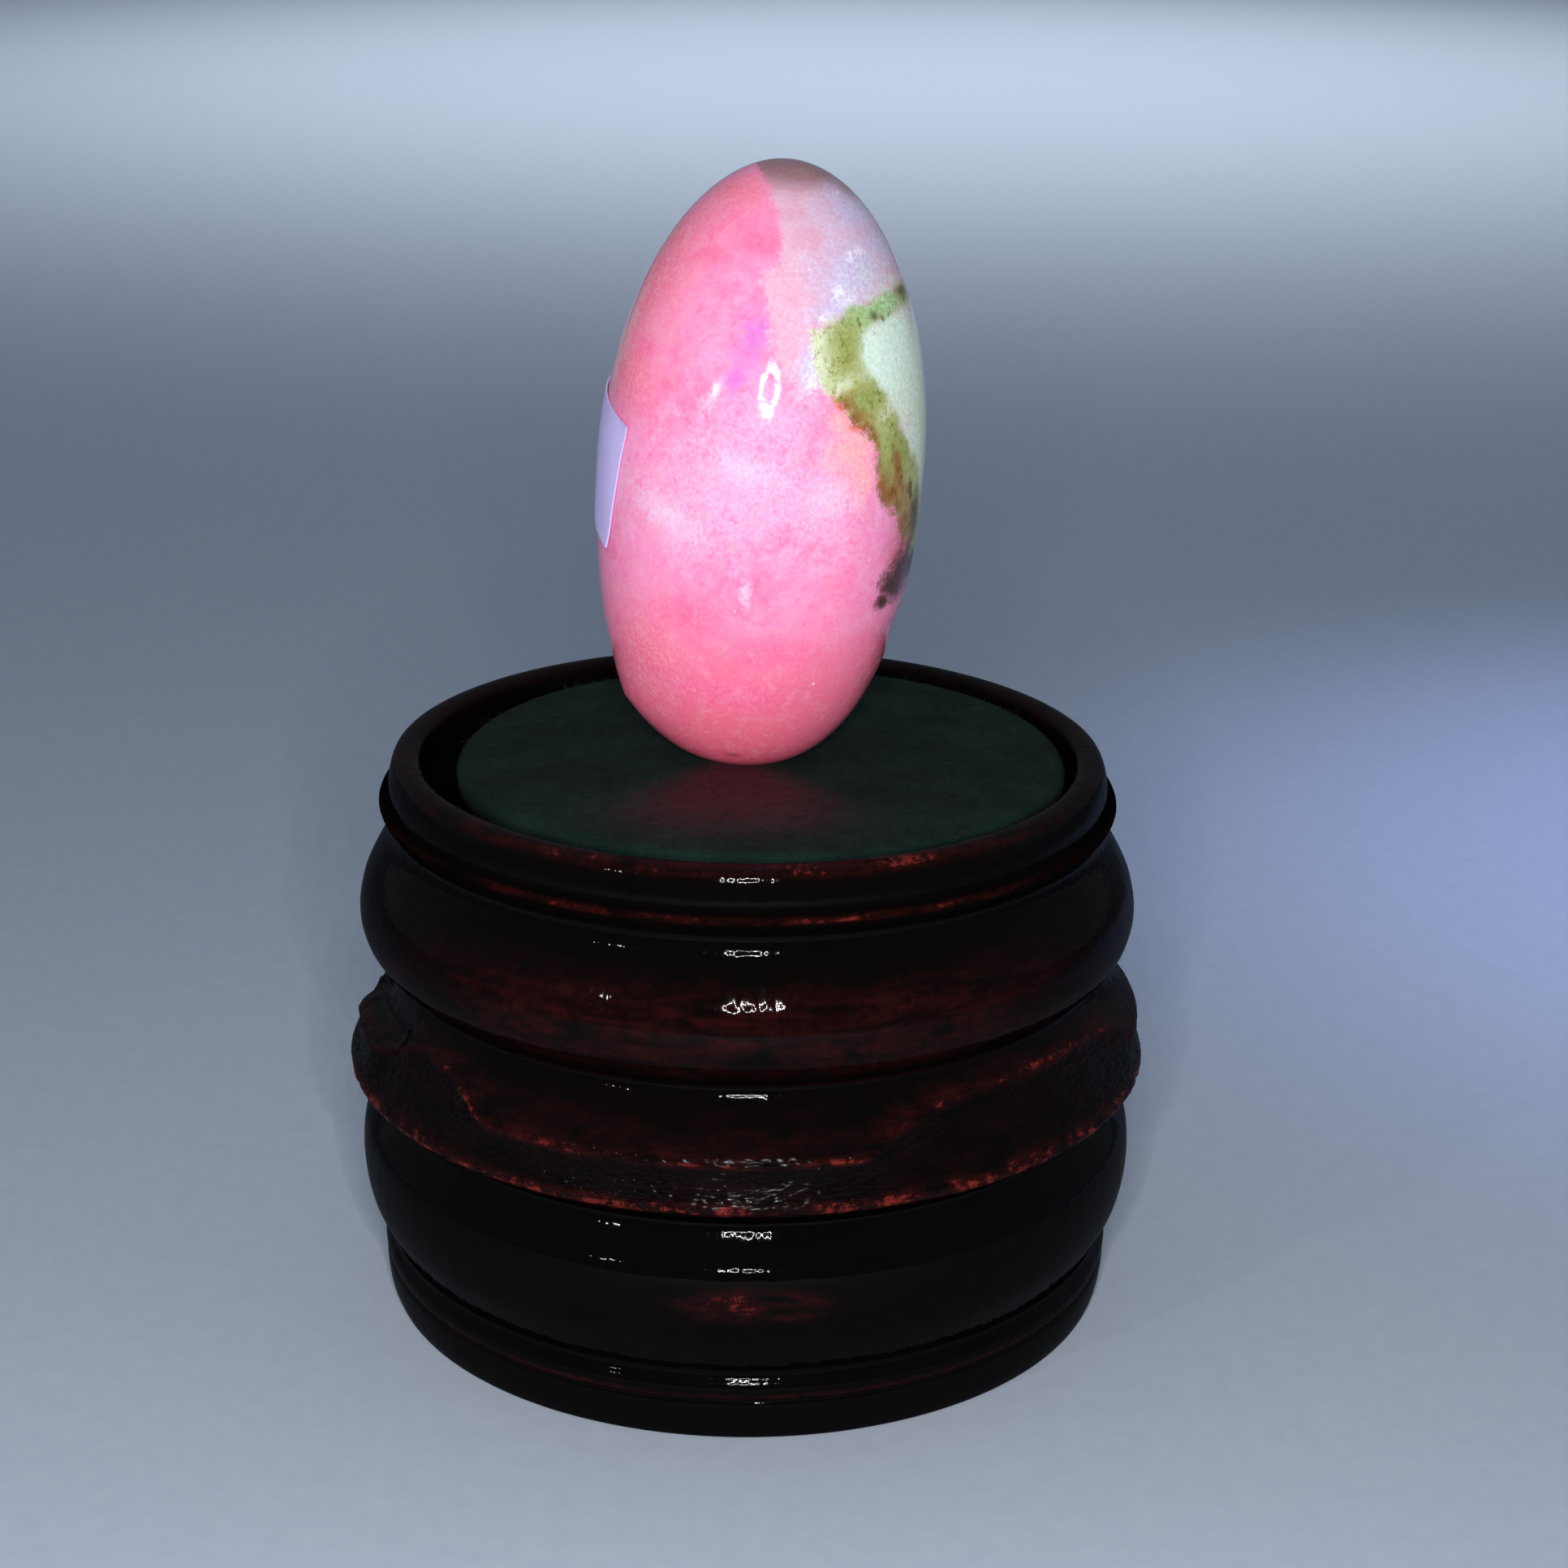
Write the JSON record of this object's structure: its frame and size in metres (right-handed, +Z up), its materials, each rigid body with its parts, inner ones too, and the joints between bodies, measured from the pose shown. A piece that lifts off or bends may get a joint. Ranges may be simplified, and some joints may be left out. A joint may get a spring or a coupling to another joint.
{
  "type": "polished tugtupite egg on a turned stand",
  "caption": "Polished egg-shaped mineral specimen with a blank paper label, standing on a felt pad in a round turned and lacquered wooden stand with a carved ring.",
  "frame": {"origin": "centre of the stand's foot, on the surface that the stand rests on", "axes": "+Z up through the stand, -Y towards the viewer at the front, +X to the viewer's right"},
  "size_m": [0.0484, 0.0484, 0.0686],
  "materials": {
    "lacquered_wood": "glossy dark mahogany lacquer, scratched where the ring is carved",
    "felt": "soft matte black felt",
    "tugtupite": "polished, pink to crimson with lilac-white clouds and an olive green vein",
    "paper": "matte white paper, blank"
  },
  "bodies": {
    "root": {"stand": "lacquered_wood", "felt_pad": "felt", "stone": "tugtupite", "label": "paper"}
  },
  "joints": []
}
